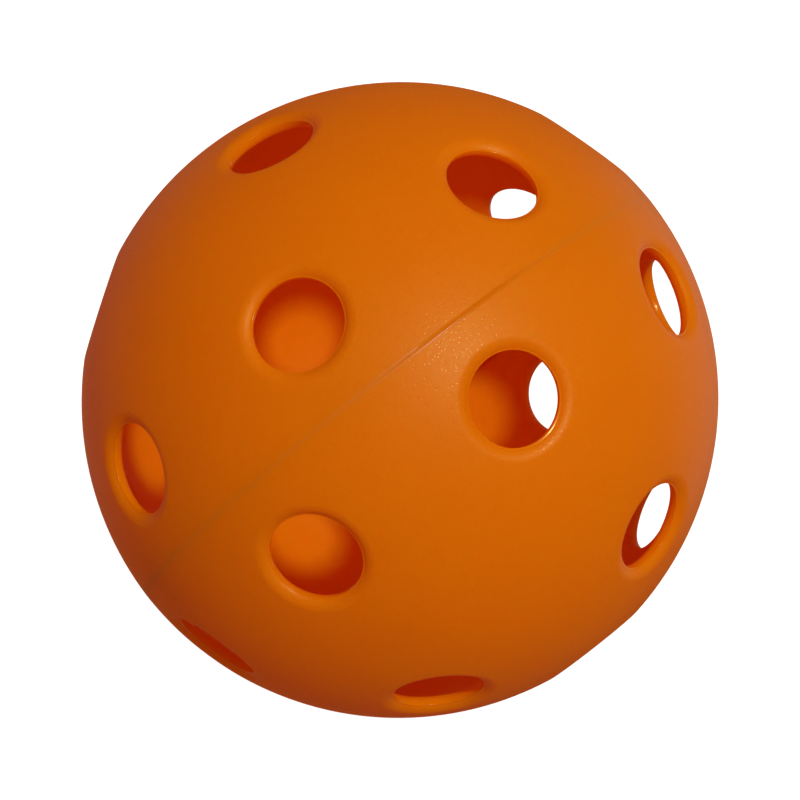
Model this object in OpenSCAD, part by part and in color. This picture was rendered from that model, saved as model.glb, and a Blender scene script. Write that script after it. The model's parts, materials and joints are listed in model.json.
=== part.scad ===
// Hollow perforated ball: two like half shells, each moulded with thirteen dished holes,
// turned to face each other, clocked, and fused edge to edge along the equator.
// The origin is the middle of the ball and +Z is up as the ball lies on a surface.

/* [Ball] */
// Diameter of the ball across its equator
ball_d = 74; // [73:0.1:75]
// Thickness of the moulded wall
wall = 1.9; // [1.8:0.05:2]
// Height that each half shell loses when its edge melts
weld_loss = 0.3; // [0.1:0.05:0.5]

/* [Holes] */
// Diameter of a hole at its throat
throat_d = 10.1; // [9.5:0.1:10.5]
// Diameter of the dish round a hole, where it meets the outer surface
dish_d = 13.2; // [12.8:0.1:13.6]
// Depth of the dish below the outer surface, on the hole's axis
dish_depth = 1.8; // [1.2:0.05:2.1]
// Number of holes in the ring beside the weld
low_count = 8; // [6:1:8]
// Latitude of the ring beside the weld
low_lat = 16.4; // [16:0.1:17]
// Number of holes in the ring round the pole
high_count = 4; // [3:1:4]
// Latitude of the ring round the pole
high_lat = 54.5; // [53:0.1:56]

/* [Weld] */
// Turn of the lower half shell's low ring against the upper one's
clocking = 21.4; // [0:0.1:45]
// Thickness of the fused layer between the two edges
melt_t = 0.6; // [0.4:0.05:0.8]
// Height of the trimmed ridge above the outer surface
ridge_h = 0.08; // [0.05:0.01:0.15]
// Radius of each of the two rolls of melt inside the ball
roll_r = 0.5; // [0.3:0.05:0.6]

/* [Lie] */
// Lean of the line through the two pole holes from upright
lean = 41.4; // [0:0.1:90]
// Direction in which that line leans, from +X towards +Y
lean_heading = 158.6; // [0:0.1:360]
// Turn of the ball about the line through its pole holes
spin = 108.2; // [0:0.1:360]

/* [Hidden] */
$fn = 128;

ball_r = ball_d / 2;
inner_r = ball_r - wall;
throat_r = throat_d / 2;
dish_r = dish_d / 2;
throat_z = ball_r - dish_depth;
rim_z = sqrt(ball_r * ball_r - dish_r * dish_r);
dish_slope = (dish_r - throat_r) / (rim_z - throat_z);
ring_offset = 180 / low_count;
ridge_r = melt_t / 2;
past = 1;
orange = [0.82, 0.42, 0.02];
bead_orange = [0.86, 0.48, 0.08];

// Puts a shape of the ball's own axes into the lie in which the ball rests.
module lie() {
    rotate([0, lean, lean_heading])
        rotate([0, 0, spin])
            children();
}

// Turns a shape from the pole to a latitude and a longitude of a half shell.
module at(lat, lon) {
    rotate([0, 90 - lat, lon])
        children();
}

// One hole: a straight throat at the inner surface that opens into a conical dish.
module hole_cut() {
    translate([0, 0, inner_r - past])
        cylinder(h = wall + 2 * past, r = throat_r);
    translate([0, 0, throat_z])
        cylinder(h = dish_depth + past, r1 = throat_r, r2 = throat_r + dish_slope * (dish_depth + past));
}

// The holes of a half shell: one at the pole and two rings, each hole of the upper ring midway
// between two of the low ring.
module hole_cuts() {
    hole_cut();
    for (i = [0 : high_count - 1])
        at(high_lat, ring_offset + i * 360 / high_count)
            hole_cut();
    for (i = [0 : low_count - 1])
        at(low_lat, i * 360 / low_count)
            hole_cut();
}

// One moulding with its pole up, its melted edge resting on the fused layer.
module half_shell() {
    intersection() {
        translate([0, 0, -weld_loss])
            difference() {
                sphere(r = ball_r);
                sphere(r = inner_r);
                hole_cuts();
            }
        translate([0, 0, melt_t / 2])
            cylinder(h = ball_r, r = ball_r + past);
    }
}

module upper_half_shell() {
    color(orange)
        lie()
            half_shell();
}

// The same moulding turned over. The turn makes its upper ring follow its low ring the other
// way round, so it is brought back by one step of the low ring.
module lower_half_shell() {
    color(orange)
        lie()
            rotate([0, 0, clocking + 360 / low_count])
                rotate([180, 0, 0])
                    half_shell();
}

// The melt that joins the halves: a flat layer through the wall, a ridge trimmed low outside,
// and the two rolls that were pressed inwards.
module weld_bead() {
    color(bead_orange)
        lie()
            rotate_extrude()
                weld_section();
}

module weld_section() {
    translate([inner_r, -melt_t / 2])
        square([wall, melt_t]);
    translate([ball_r + ridge_h - ridge_r, 0])
        circle(r = ridge_r);
    for (side = [-1, 1])
        intersection() {
            translate([inner_r, side * roll_r * 0.8])
                circle(r = roll_r);
            translate([inner_r - 2 * roll_r, -2 * roll_r])
                square([2 * roll_r, 4 * roll_r]);
        }
}

upper_half_shell();
lower_half_shell();
weld_bead();
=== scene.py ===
import json
import math

import bmesh
import bpy
from mathutils import Matrix, Vector, noise


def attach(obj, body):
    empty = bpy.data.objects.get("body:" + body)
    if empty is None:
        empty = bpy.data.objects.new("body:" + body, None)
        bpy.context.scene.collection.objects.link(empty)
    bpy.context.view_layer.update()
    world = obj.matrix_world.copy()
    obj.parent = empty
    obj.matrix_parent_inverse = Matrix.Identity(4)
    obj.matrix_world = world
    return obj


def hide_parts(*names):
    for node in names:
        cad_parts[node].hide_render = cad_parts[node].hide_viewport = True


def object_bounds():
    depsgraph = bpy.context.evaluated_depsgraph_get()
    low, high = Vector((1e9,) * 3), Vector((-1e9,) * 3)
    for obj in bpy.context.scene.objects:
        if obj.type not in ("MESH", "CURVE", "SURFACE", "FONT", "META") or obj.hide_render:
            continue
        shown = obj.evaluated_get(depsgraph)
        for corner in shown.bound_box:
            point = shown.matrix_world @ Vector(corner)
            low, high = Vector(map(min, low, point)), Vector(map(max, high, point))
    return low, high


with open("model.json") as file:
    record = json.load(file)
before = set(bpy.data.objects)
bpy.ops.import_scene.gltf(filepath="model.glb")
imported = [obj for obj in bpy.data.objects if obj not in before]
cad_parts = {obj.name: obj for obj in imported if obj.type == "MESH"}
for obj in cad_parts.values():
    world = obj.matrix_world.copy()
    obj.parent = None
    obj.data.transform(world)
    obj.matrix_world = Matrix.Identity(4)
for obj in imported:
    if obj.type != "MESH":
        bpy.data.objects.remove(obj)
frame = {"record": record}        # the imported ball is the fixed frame
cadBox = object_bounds()
record = frame["record"]
mm = 0.001               # sizes below are in millimetres and slopes in degrees

# the frame says where the line through the pole holes runs and how wide a throat is
mounts = {mount["name"]: mount for mount in record["mounts"]}
ballAxis = Vector(mounts["upper_pole_hole"]["axis"]).normalized()
throatRadius = mounts["upper_pole_hole"]["dims"]["r_mm"]


# camera

cameraValues = {
    "elevation": 12,         # degrees above the horizon
    "distance": 282.4,       # from the middle of the ball
    "lens": 109.0,           # for a sensor 36 wide
}


def fromCamera(right, up):   # a direction from the ball, in degrees to the right of the camera and above it
    elevation = math.radians(cameraValues["elevation"])
    turned = Matrix.Rotation(math.radians(right), 3, "Y") @ Matrix.Rotation(-math.radians(up), 3, "X")
    lifted = Matrix.Rotation(math.radians(90) - elevation, 3, "X")
    return lifted @ turned @ Vector((0, 0, 1))


def placeCamera():
    data = bpy.data.cameras.new("camera")
    camera = bpy.data.objects.new("camera", data)
    bpy.context.scene.collection.objects.link(camera)
    bpy.context.scene.camera = camera
    back = fromCamera(0, 0)
    camera.location = back * cameraValues["distance"] * mm
    camera.rotation_euler = back.to_track_quat("Z", "Y").to_euler()
    data.lens = cameraValues["lens"]
    data.clip_start = 0.01
    data.clip_end = 20


placeCamera()
print("camera placed")


# half shells

shellValues = {
    "radius": 37.0,          # outer sphere of one moulding
    "wall": 1.9,             # thickness
    "sunk": 0.3,             # the sphere's middle lies this far past the weld's middle
    "layer": 0.6,            # fused layer between the two edges
    "segments": 192,         # round the ball
    "rings": 96,             # from pole to pole
    "surround": 8.6,         # radius of the turned surround of a hole, outside
    "innerSurround": 8.0,    # the same, inside
    "gap": 0.5,              # strip between a surround and the rest of the sphere
}

holeValues = {
    "rounding": 1.6,         # radius that rolls the outer surface down into the hole
    "footSlope": 44,         # slope where that rounding ends
    "polishFrom": 0.94,      # share of that slope where the polished core pin begins
    "ledge": 0.14,           # flat ledge that the core pin leaves at its foot
    "ledgeSlope": 13.6,      # it falls inwards
    "lip": 0.06,             # rounding of the throat's outer lip
    "flare": 1.0,            # radius that widens the hole again towards the inside
    "flareSlope": 92,        # slope where the flare leaves the throat
    "flarePolish": 0.5,      # how polished the flare is, beside 1 in the throat
    "steps": 96,             # round the hole
}


# height of the moulding's edge above its sphere's middle, and the radius halfway through its wall
seamHeight = shellValues["sunk"] + shellValues["layer"] / 2
midWall = shellValues["radius"] - shellValues["wall"] / 2


def addArc(section, radius, fromSlope, toSlope, steps, polish=0.0):
    # carries a section on along an arc whose slope runs from one value to the other
    start = section[-1][0]
    for step in range(1, steps + 1):
        slope = fromSlope + (toSlope - fromSlope) * step / steps
        inwards = radius * (math.sin(slope) - math.sin(fromSlope))
        rise = radius * (math.cos(slope) - math.cos(fromSlope))
        section.append((start + Vector((-inwards, 0, rise)), polish))


def holeSection(shell, hole):
    # from the outer sphere through the throat to the inner one: x is the distance from the hole's axis,
    # z the height above the sphere's middle, and each point carries how polished the mould was there
    outer, inner = shell["radius"], shell["radius"] - shell["wall"]
    foot, ledge = (math.radians(hole[name]) for name in ("footSlope", "ledgeSlope"))
    inwards = hole["rounding"] * math.sin(foot)
    inwards += hole["ledge"] * math.cos(ledge)
    inwards += hole["lip"] * (1 - math.sin(ledge))
    roundingAt = (throatRadius + inwards) / (1 - hole["rounding"] / outer)
    surroundSlope = -math.asin(shell["surround"] / outer)
    roundingSlope = -math.asin(roundingAt / outer)
    flare = math.radians(hole["flareSlope"])
    flareCentre = throatRadius + hole["flare"] * math.sin(flare)
    flareEnd = math.asin(flareCentre / (inner + hole["flare"]))
    innerSlope = math.asin(shell["innerSurround"] / inner)
    section = [(Vector((shell["surround"], 0, outer * math.cos(surroundSlope))), 0.0)]
    addArc(section, outer, surroundSlope, roundingSlope, 4)
    polishSlope = foot * hole["polishFrom"]
    addArc(section, hole["rounding"], roundingSlope, polishSlope, 15)
    addArc(section, hole["rounding"], polishSlope, foot, 1, 1.0)
    step = Vector((-math.cos(ledge), 0, -math.sin(ledge))) * hole["ledge"]
    section.append((section[-1][0] + step, 1.0))
    addArc(section, hole["lip"], ledge, math.radians(90), 4, 1.0)
    wallEnd = (inner + hole["flare"]) * math.cos(flareEnd) + hole["flare"] * math.cos(flare)
    section.append((Vector((throatRadius, 0, wallEnd)), 1.0))
    addArc(section, hole["flare"], flare, math.pi - flareEnd, 10, hole["flarePolish"])
    addArc(section, -inner, math.pi - flareEnd, math.pi - innerSlope, 3)
    return section


def holeDirections(side, pole, middle):
    # the pole hole, and the holes whose openings the frame lists for this half
    directions = [pole]
    for opening in record["physics"]["openings"]:
        if opening["name"].startswith(side):
            low, high = (Vector(corner) for corner in opening["box_m"])
            directions.append(((low + high) / 2 - middle).normalized())
    return directions


def cutSphere(radius, cutRadius, pole, middle, directions):
    # a sphere without its lower half, with a round gap at each hole
    cut = bmesh.new()
    bmesh.ops.create_uvsphere(
        cut, u_segments=shellValues["segments"], v_segments=shellValues["rings"], radius=radius * mm)
    turned = Vector((0, 0, 1)).rotation_difference(pole).to_matrix().to_4x4()
    cut.transform(Matrix.Translation(middle) @ turned)
    gapHeight = math.sqrt(radius ** 2 - cutRadius ** 2)
    planes = [(-pole, -seamHeight)] + [(way, gapHeight) for way in directions]
    for way, height in planes:
        foot = middle + way * height * mm
        made = bmesh.ops.bisect_plane(
            cut, geom=cut.verts[:] + cut.edges[:] + cut.faces[:], dist=1e-7,
            plane_co=foot, plane_no=way, clear_outer=True)
        for vert in made["geom_cut"]:
            if isinstance(vert, bmesh.types.BMVert):   # back onto the sphere, within the plane
                flat = (vert.co - foot) - way * (vert.co - foot).dot(way)
                vert.co = foot + flat.normalized() * math.sqrt(radius ** 2 - height ** 2) * mm
    return cut


def openLoops(bm, pole, middle, directions):
    # the open edges at the seam, and those round each hole outside and inside
    seam, around = [], {}
    for edge in bm.edges:
        if not edge.is_boundary:
            continue
        arm = edge.verts[0].co - middle
        if all(abs((vert.co - middle).dot(pole) - seamHeight * mm) < 1e-6 for vert in edge.verts):
            seam.append(edge)
        else:
            nearest = max(range(len(directions)), key=lambda i: arm.dot(directions[i]))
            around.setdefault((nearest, arm.length > midWall * mm), []).append(edge)
    return seam, around


def addMesh(bm, part, matrix):   # joins another bmesh to this one, in its place
    carrier = bpy.data.meshes.new("carrier")
    part.to_mesh(carrier)
    carrier.transform(matrix)
    bm.from_mesh(carrier)
    bpy.data.meshes.remove(carrier)


def turnedHole():
    # one hole with the surface round it, turned about Z, its height measured from the sphere's middle
    bm = bmesh.new()
    polish = bm.verts.layers.float.new("polish")
    line = []
    for point, shine in holeSection(shellValues, holeValues):
        vert = bm.verts.new(point * mm)
        vert[polish] = shine
        line.append(vert)
    edges = [bm.edges.new(pair) for pair in zip(line, line[1:])]
    bmesh.ops.spin(
        bm, geom=line + edges, cent=(0, 0, 0), axis=(0, 0, 1), dvec=(0, 0, 0), angle=math.radians(360),
        space=Matrix(), steps=holeValues["steps"], use_merge=True, use_normal_flip=False, use_duplicate=False)
    return bm


def buildShell(side):
    shell = shellValues
    pole = ballAxis if side == "upper" else -ballAxis
    middle = -pole * shell["sunk"] * mm
    outer, inner = shell["radius"], shell["radius"] - shell["wall"]
    directions = holeDirections(side, pole, middle)
    hole = turnedHole()
    bm = bmesh.new()
    bm.verts.layers.float.new("polish")
    for way in directions:
        turned = Vector((0, 0, 1)).rotation_difference(way).to_matrix().to_4x4()
        addMesh(bm, hole, Matrix.Translation(middle) @ turned)
    for radius, surround in ((outer, shell["surround"]), (inner, shell["innerSurround"])):
        cut = cutSphere(radius, surround + shell["gap"], pole, middle, directions)
        if radius == inner:
            bmesh.ops.reverse_faces(cut, faces=cut.faces[:])
        addMesh(bm, cut, Matrix())
        cut.free()
    hole.free()
    seam, around = openLoops(bm, pole, middle, directions)
    for (way, _), edges in around.items():
        bmesh.ops.triangle_fill(bm, use_beauty=True, edges=edges, normal=directions[way])
    bmesh.ops.bridge_loops(bm, edges=seam)
    bmesh.ops.recalc_face_normals(bm, faces=bm.faces[:])
    print(side, "half:", len(directions), "holes,", len(bm.faces), "faces,",
          sum(1 for edge in bm.edges if not edge.is_contiguous), "open or turned edges,",
          round(bm.calc_volume(signed=True) / mm ** 3), "cubic mm")
    return finishPiece(bm, side + "HalfShell")


sharpFrom = 29               # an edge that turns by more than this shows as an edge


def finishPiece(bm, name):
    mesh = bpy.data.meshes.new(name)
    bm.to_mesh(mesh)
    bm.free()
    mesh.shade_smooth()
    mesh.set_sharp_from_angle(angle=math.radians(sharpFrom))
    piece = bpy.data.objects.new(name, mesh)
    bpy.context.scene.collection.objects.link(piece)
    return piece


upperHalf = buildShell("upper")
lowerHalf = buildShell("lower")


# weld bead

weldValues = {
    "segments": 384,         # round the ball
    "crest": 0.06,           # height of the trimmed ridge where it is highest
    "crestAt": -0.14,        # it stands towards the lower half
    "crestWidth": 0.06,      # half the width of its rounded top
    "trough": 0.1,           # depth of the sunk strip beside it
    "troughAt": 0.15,        # towards the upper half
    "highRight": 12,         # where it is highest, in degrees to the right of the camera and above it
    "highUp": 16,
    "highFall": 40,          # how fast it falls away from there: a larger value leaves a shorter stretch
    "least": 0.02,           # share of the height that the trimming left elsewhere
    "roll": 0.35,            # radius of the two rolls of melt inside
    "rollSpread": 0.8,       # height of their middles above and below the weld's, as a share of that radius
    "wander": 0.35,          # share by which ridge and rolls vary along the weld
    "waver": 7.0,            # length of that variation
}


def buildWeld():
    weld, shell = weldValues, shellValues
    inner = shell["radius"] - shell["wall"]
    seam = math.sqrt(shell["radius"] ** 2 - seamHeight ** 2)
    half = shell["layer"] / 2
    # x is the distance from the ball's axis, z the height towards the upper half
    section = [Vector((seam, 0, -half))]
    for step in range(9):
        angle = math.radians(180 * step / 8)
        section.append(Vector((seam + weld["crest"] * (0.5 + 0.5 * math.sin(angle)), 0,
                               weld["crestAt"] - weld["crestWidth"] * math.cos(angle))))
    section.append(Vector((seam - weld["trough"], 0, weld["troughAt"])))
    section.append(Vector((seam, 0, half)))
    meet = weld["roll"] * weld["rollSpread"]
    turn = math.degrees(math.asin(weld["rollSpread"]))
    upperRoll = []
    for step in range(13):
        angle = math.radians(90 + (90 + turn) * step / 12)
        upperRoll.append(Vector((inner + weld["roll"] * math.cos(angle), 0,
                                 meet + weld["roll"] * math.sin(angle))))
    section.append(Vector((inner, 0, half)))
    section += upperRoll
    section += [Vector((point.x, 0, -point.z)) for point in reversed(upperRoll[:-1])]
    section.append(Vector((inner, 0, -half)))
    bm = bmesh.new()
    polish = bm.verts.layers.float.new("polish")
    turned = Vector((0, 0, 1)).rotation_difference(ballAxis).to_matrix()
    line = [bm.verts.new(turned @ point * mm) for point in section]
    edges = [bm.edges.new(pair) for pair in zip(line, line[1:] + line[:1])]
    bmesh.ops.spin(
        bm, geom=line + edges, cent=(0, 0, 0), axis=ballAxis, dvec=(0, 0, 0), angle=math.radians(360),
        space=Matrix(), steps=weld["segments"], use_merge=True, use_normal_flip=False, use_duplicate=False)
    bmesh.ops.recalc_face_normals(bm, faces=bm.faces[:])
    highest = fromCamera(weld["highRight"], weld["highUp"])
    for vert in bm.verts:    # the plates pressed out a little more melt here and less there
        along = ballAxis * vert.co.dot(ballAxis)
        out = vert.co - along
        radius = out.length / mm
        share = 1 + weld["wander"] * noise.noise(out / (weld["waver"] * mm))
        if radius > midWall:
            vert[polish] = max(0.0, out.normalized().dot(highest)) ** weld["highFall"]
            share *= weld["least"] + (1 - weld["least"]) * vert[polish]
            radius = seam + (radius - seam) * share
        elif radius < inner:
            radius = inner + (radius - inner) * share
        vert.co = along + out.normalized() * radius * mm
    print("weld:", len(bm.faces), "faces,",
          sum(1 for edge in bm.edges if not edge.is_contiguous), "open or turned edges,",
          round(bm.calc_volume(signed=True) / mm ** 3), "cubic mm")
    return finishPiece(bm, "weldBead")


weldBead = buildWeld()


# materials

def linear(hexColour):       # sRGB hex to the linear colour that Blender takes
    channels = [int(hexColour[i:i + 2], 16) / 255 for i in (1, 3, 5)]
    return [c / 12.92 if c <= 0.04045 else ((c + 0.055) / 1.055) ** 2.4 for c in channels] + [1.0]


def addNode(tree, kind, settings, links):
    node = tree.nodes.new(kind)
    for name, value in settings.items():
        if isinstance(name, int) or name in node.inputs:
            node.inputs[name].default_value = value
        else:
            setattr(node, name, value)
    for name, socket in links.items():
        tree.links.new(socket, node.inputs[name])
    return node


def newMaterial(name):
    material = bpy.data.materials.new(name)
    material.use_nodes = True
    material.node_tree.nodes.clear()
    return material


# Polyethylene, injection moulded in a spark-eroded mould: a waxy satin orange that light soaks into and
# shines through, with a fine grain that glints, and glossy throats and lips where the core pins were polished.
shellFinish = {
    "colour": "#FC9B00",
    "deepColour": "#F79200",       # where the pigment is a touch denser
    "throughColour": "#FF9600",    # of the light that shines through the wall
    "through": 0.45,         # share of the light that each face of the wall lets through
    "soakShare": 0.3,        # share of the rest that spreads below the face
    "cloud": 9.0,            # size of the clouds of denser pigment
    "grain": 0.2,            # spark-eroded grain
    "grainDepth": 0.01,
    "grainSway": 0.05,       # how far the grain moves the roughness up or down
    "pit": 0.44,             # spacing of the deeper, shinier pits
    "pitDepth": 0.014,
    "pitEdge": 0.3,          # radius of a pit, as a share of the spacing
    "pitFloor": 0.2,         # radius of its shiny bottom
    "pitGloss": 0.27,        # roughness at the bottom of a pit, which is where it glints
    "roughness": 0.46,
    "polished": 0.18,        # roughness of the throats and their lips
    "polishedGrain": 0.3,    # share of the grain's depth left there
    "ior": 1.5,
    "sheen": "#FFEEA8",      # warm where it is seen square on, and white towards the rim
    "soak": (0.35, 0.18, 0.07),    # how far red, green and blue spread below a face
}


def mouldedPolyethylene():
    finish = shellFinish
    material = newMaterial("mouldedPolyethylene")
    tree = material.node_tree
    place = addNode(tree, "ShaderNodeTexCoord", {}, {}).outputs["Object"]
    polish = addNode(tree, "ShaderNodeAttribute", {"attribute_name": "polish"}, {}).outputs["Fac"]
    cloud = addNode(tree, "ShaderNodeTexNoise",
                    {"Scale": 1 / (finish["cloud"] * mm), "Detail": 3.0, "Roughness": 0.5}, {"Vector": place})
    colour = addNode(tree, "ShaderNodeMix",
                     {"data_type": "RGBA", 6: linear(finish["colour"]), 7: linear(finish["deepColour"])},
                     {0: cloud.outputs["Fac"]})
    grain = addNode(tree, "ShaderNodeTexNoise",
                    {"Scale": 1 / (finish["grain"] * mm), "Detail": 2.0, "Roughness": 0.55},
                    {"Vector": place})
    pits = addNode(tree, "ShaderNodeTexVoronoi",
                   {"feature": "F1", "Scale": 1 / (finish["pit"] * mm)}, {"Vector": place})
    pitShape = addNode(tree, "ShaderNodeMapRange",
                       {"From Min": 0.0, "From Max": finish["pitEdge"], "To Min": 0.0, "To Max": 1.0},
                       {"Value": pits.outputs["Distance"]})
    matt = addNode(tree, "ShaderNodeMapRange",
                   {"From Min": 0.3, "From Max": 0.7, "To Min": finish["roughness"] - finish["grainSway"],
                    "To Max": finish["roughness"] + finish["grainSway"]}, {"Value": grain.outputs["Fac"]})
    pitFloor = addNode(tree, "ShaderNodeMapRange",
                       {"From Min": finish["pitFloor"], "From Max": finish["pitEdge"], "To Min": 0.0,
                        "To Max": 1.0}, {"Value": pits.outputs["Distance"]})
    grained = addNode(tree, "ShaderNodeMix", {"data_type": "FLOAT", 2: finish["pitGloss"]},
                      {0: pitFloor.outputs["Result"], 3: matt.outputs["Result"]})
    rough = addNode(tree, "ShaderNodeMix", {"data_type": "FLOAT", 3: finish["polished"]},
                    {0: polish, 2: grained.outputs[0]})
    grainShare = addNode(tree, "ShaderNodeMapRange",
                         {"To Min": 1.0, "To Max": finish["polishedGrain"]}, {"Value": polish})
    pitBump = addNode(tree, "ShaderNodeBump", {"Distance": finish["pitDepth"] * mm},
                      {"Height": pitShape.outputs["Result"], "Strength": grainShare.outputs["Result"]})
    bump = addNode(tree, "ShaderNodeBump", {"Distance": finish["grainDepth"] * mm},
                   {"Height": grain.outputs["Fac"], "Strength": grainShare.outputs["Result"],
                    "Normal": pitBump.outputs["Normal"]})
    shader = addNode(tree, "ShaderNodeBsdfPrincipled",
                     {"IOR": finish["ior"], "Specular Tint": linear(finish["sheen"]),
                      "Subsurface Weight": finish["soakShare"], "Subsurface Radius": finish["soak"],
                      "Subsurface Scale": mm},
                     {"Base Color": colour.outputs[2], "Roughness": rough.outputs[0],
                      "Normal": bump.outputs["Normal"]})
    glow = addNode(tree, "ShaderNodeBsdfTranslucent", {"Color": linear(finish["throughColour"])},
                   {"Normal": bump.outputs["Normal"]})
    wall = addNode(tree, "ShaderNodeMixShader", {0: finish["through"]},
                   {1: shader.outputs["BSDF"], 2: glow.outputs["BSDF"]})
    addNode(tree, "ShaderNodeOutputMaterial", {}, {"Surface": wall.outputs["Shader"]})
    return material


# The same polyethylene, remelted between hot plates and trimmed: without the mould's grain, so it has soft
# broad streaks instead of glints, and a glossy line where the ridge stands.
weldFinish = {
    "colour": "#FA9901",
    "throughColour": "#FF9600",
    "through": 0.45,
    "soakShare": 0.3,
    "streak": 2.2,           # size of the drawn-out streaks of melt
    "streakDepth": 0.012,
    "streakSway": 0.06,      # how far they move the roughness up or down
    "roughness": 0.46,
    "polished": 0.22,        # roughness where the trimming left the ridge
    "ior": 1.5,
    "soak": (0.35, 0.18, 0.07),
}


def remeltedPolyethylene():
    finish = weldFinish
    material = newMaterial("remeltedPolyethylene")
    tree = material.node_tree
    place = addNode(tree, "ShaderNodeTexCoord", {}, {}).outputs["Object"]
    streak = addNode(tree, "ShaderNodeTexNoise",
                     {"Scale": 1 / (finish["streak"] * mm), "Detail": 4.0, "Roughness": 0.6},
                     {"Vector": place})
    polish = addNode(tree, "ShaderNodeAttribute", {"attribute_name": "polish"}, {}).outputs["Fac"]
    matt = addNode(tree, "ShaderNodeMapRange",
                   {"From Min": 0.3, "From Max": 0.7, "To Min": finish["roughness"] - finish["streakSway"],
                    "To Max": finish["roughness"] + finish["streakSway"]}, {"Value": streak.outputs["Fac"]})
    rough = addNode(tree, "ShaderNodeMix", {"data_type": "FLOAT", 3: finish["polished"]},
                    {0: polish, 2: matt.outputs["Result"]})
    bump = addNode(tree, "ShaderNodeBump", {"Distance": finish["streakDepth"] * mm},
                   {"Height": streak.outputs["Fac"]})
    shader = addNode(tree, "ShaderNodeBsdfPrincipled",
                     {"Base Color": linear(finish["colour"]), "IOR": finish["ior"],
                      "Subsurface Weight": finish["soakShare"], "Subsurface Radius": finish["soak"],
                      "Subsurface Scale": mm},
                     {"Roughness": rough.outputs[0], "Normal": bump.outputs["Normal"]})
    glow = addNode(tree, "ShaderNodeBsdfTranslucent", {"Color": linear(finish["throughColour"])},
                   {"Normal": bump.outputs["Normal"]})
    wall = addNode(tree, "ShaderNodeMixShader", {0: finish["through"]},
                   {1: shader.outputs["BSDF"], 2: glow.outputs["BSDF"]})
    addNode(tree, "ShaderNodeOutputMaterial", {}, {"Surface": wall.outputs["Shader"]})
    return material


shellMaterial = mouldedPolyethylene()
for piece, node in ((upperHalf, "upper_half_shell"), (lowerHalf, "lower_half_shell")):
    piece.data.materials.append(shellMaterial)
    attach(piece, "root")
    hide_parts(node)
weldBead.data.materials.append(remeltedPolyethylene())
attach(weldBead, "root")
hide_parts("weld_bead")
print("materials made")


# studio

studioValues = {
    "keyRight": 21.5,        # degrees to the right of the camera, seen from the ball
    "keyUp": 14.5,
    "keyDistance": 2200,
    "keyWidth": 130,
    "keyColour": "#F6FFF0",
    "keyPower": 32,          # watts
    "around": (0.30, 0.17, 0.08),  # dim warm light of the room
    "backAim": (-0.2, 0.96, 0.2),  # direction from the ball to the soft lamp behind it
    "backDistance": 1500,
    "backWidth": 500,
    "backPower": 5,
    "cardRight": 135,        # pale card beyond the ball's right side
    "cardUp": 10,
    "cardDistance": 1500,
    "cardWidth": 1400,
    "cardPower": 2.4,
    "farCardRight": -140,    # and a dimmer one beyond its left side
    "farCardPower": 0.8,
    "floorRadius": 3000,
    "floorColour": "#A2A19F",
    "floorGlow": 1.0,        # keeps the floor pale beside the dim room light
}


def addLight(name, direction, distance, width, power, colour="#FFFFFF"):
    data = bpy.data.lights.new(name, "AREA")
    data.shape = "DISK"
    data.size = width * mm
    data.energy = power
    data.color = linear(colour)[:3]
    light = bpy.data.objects.new(name, data)
    light.location = direction * distance * mm
    light.rotation_euler = direction.to_track_quat("Z", "Y").to_euler()
    bpy.context.scene.collection.objects.link(light)
    return light


def buildStudio():
    studio = studioValues
    bm = bmesh.new()
    bmesh.ops.create_circle(bm, cap_ends=True, segments=96, radius=studio["floorRadius"] * mm)
    bmesh.ops.translate(bm, verts=bm.verts[:], vec=(0, 0, cadBox[0].z))
    floor = finishPiece(bm, "floor")
    material = newMaterial("seamlessPaper")
    tree = material.node_tree
    paper = addNode(tree, "ShaderNodeBsdfDiffuse", {"Color": linear(studio["floorColour"])}, {})
    glow = addNode(tree, "ShaderNodeEmission", {"Strength": studio["floorGlow"]}, {})
    both = addNode(tree, "ShaderNodeAddShader", {}, {0: paper.outputs[0], 1: glow.outputs[0]})
    addNode(tree, "ShaderNodeOutputMaterial", {}, {"Surface": both.outputs[0]})
    floor.data.materials.append(material)
    floor.visible_diffuse = False
    floor.visible_glossy = False
    floor.visible_transmission = False
    world = bpy.data.worlds.new("room")
    world.use_nodes = True
    world.node_tree.nodes["Background"].inputs["Color"].default_value = (*studio["around"], 1)
    bpy.context.scene.world = world
    addLight("key", fromCamera(studio["keyRight"], studio["keyUp"]), studio["keyDistance"],
             studio["keyWidth"], studio["keyPower"], studio["keyColour"])
    back = addLight("back", Vector(studio["backAim"]).normalized(), studio["backDistance"],
                    studio["backWidth"], studio["backPower"])
    back.visible_glossy = False
    addLight("card", fromCamera(studio["cardRight"], studio["cardUp"]), studio["cardDistance"],
             studio["cardWidth"], studio["cardPower"])
    addLight("farCard", fromCamera(studio["farCardRight"], studio["cardUp"]), studio["cardDistance"],
             studio["cardWidth"], studio["farCardPower"])
    bpy.context.scene.view_settings.view_transform = "Standard"


buildStudio()
print("studio built")
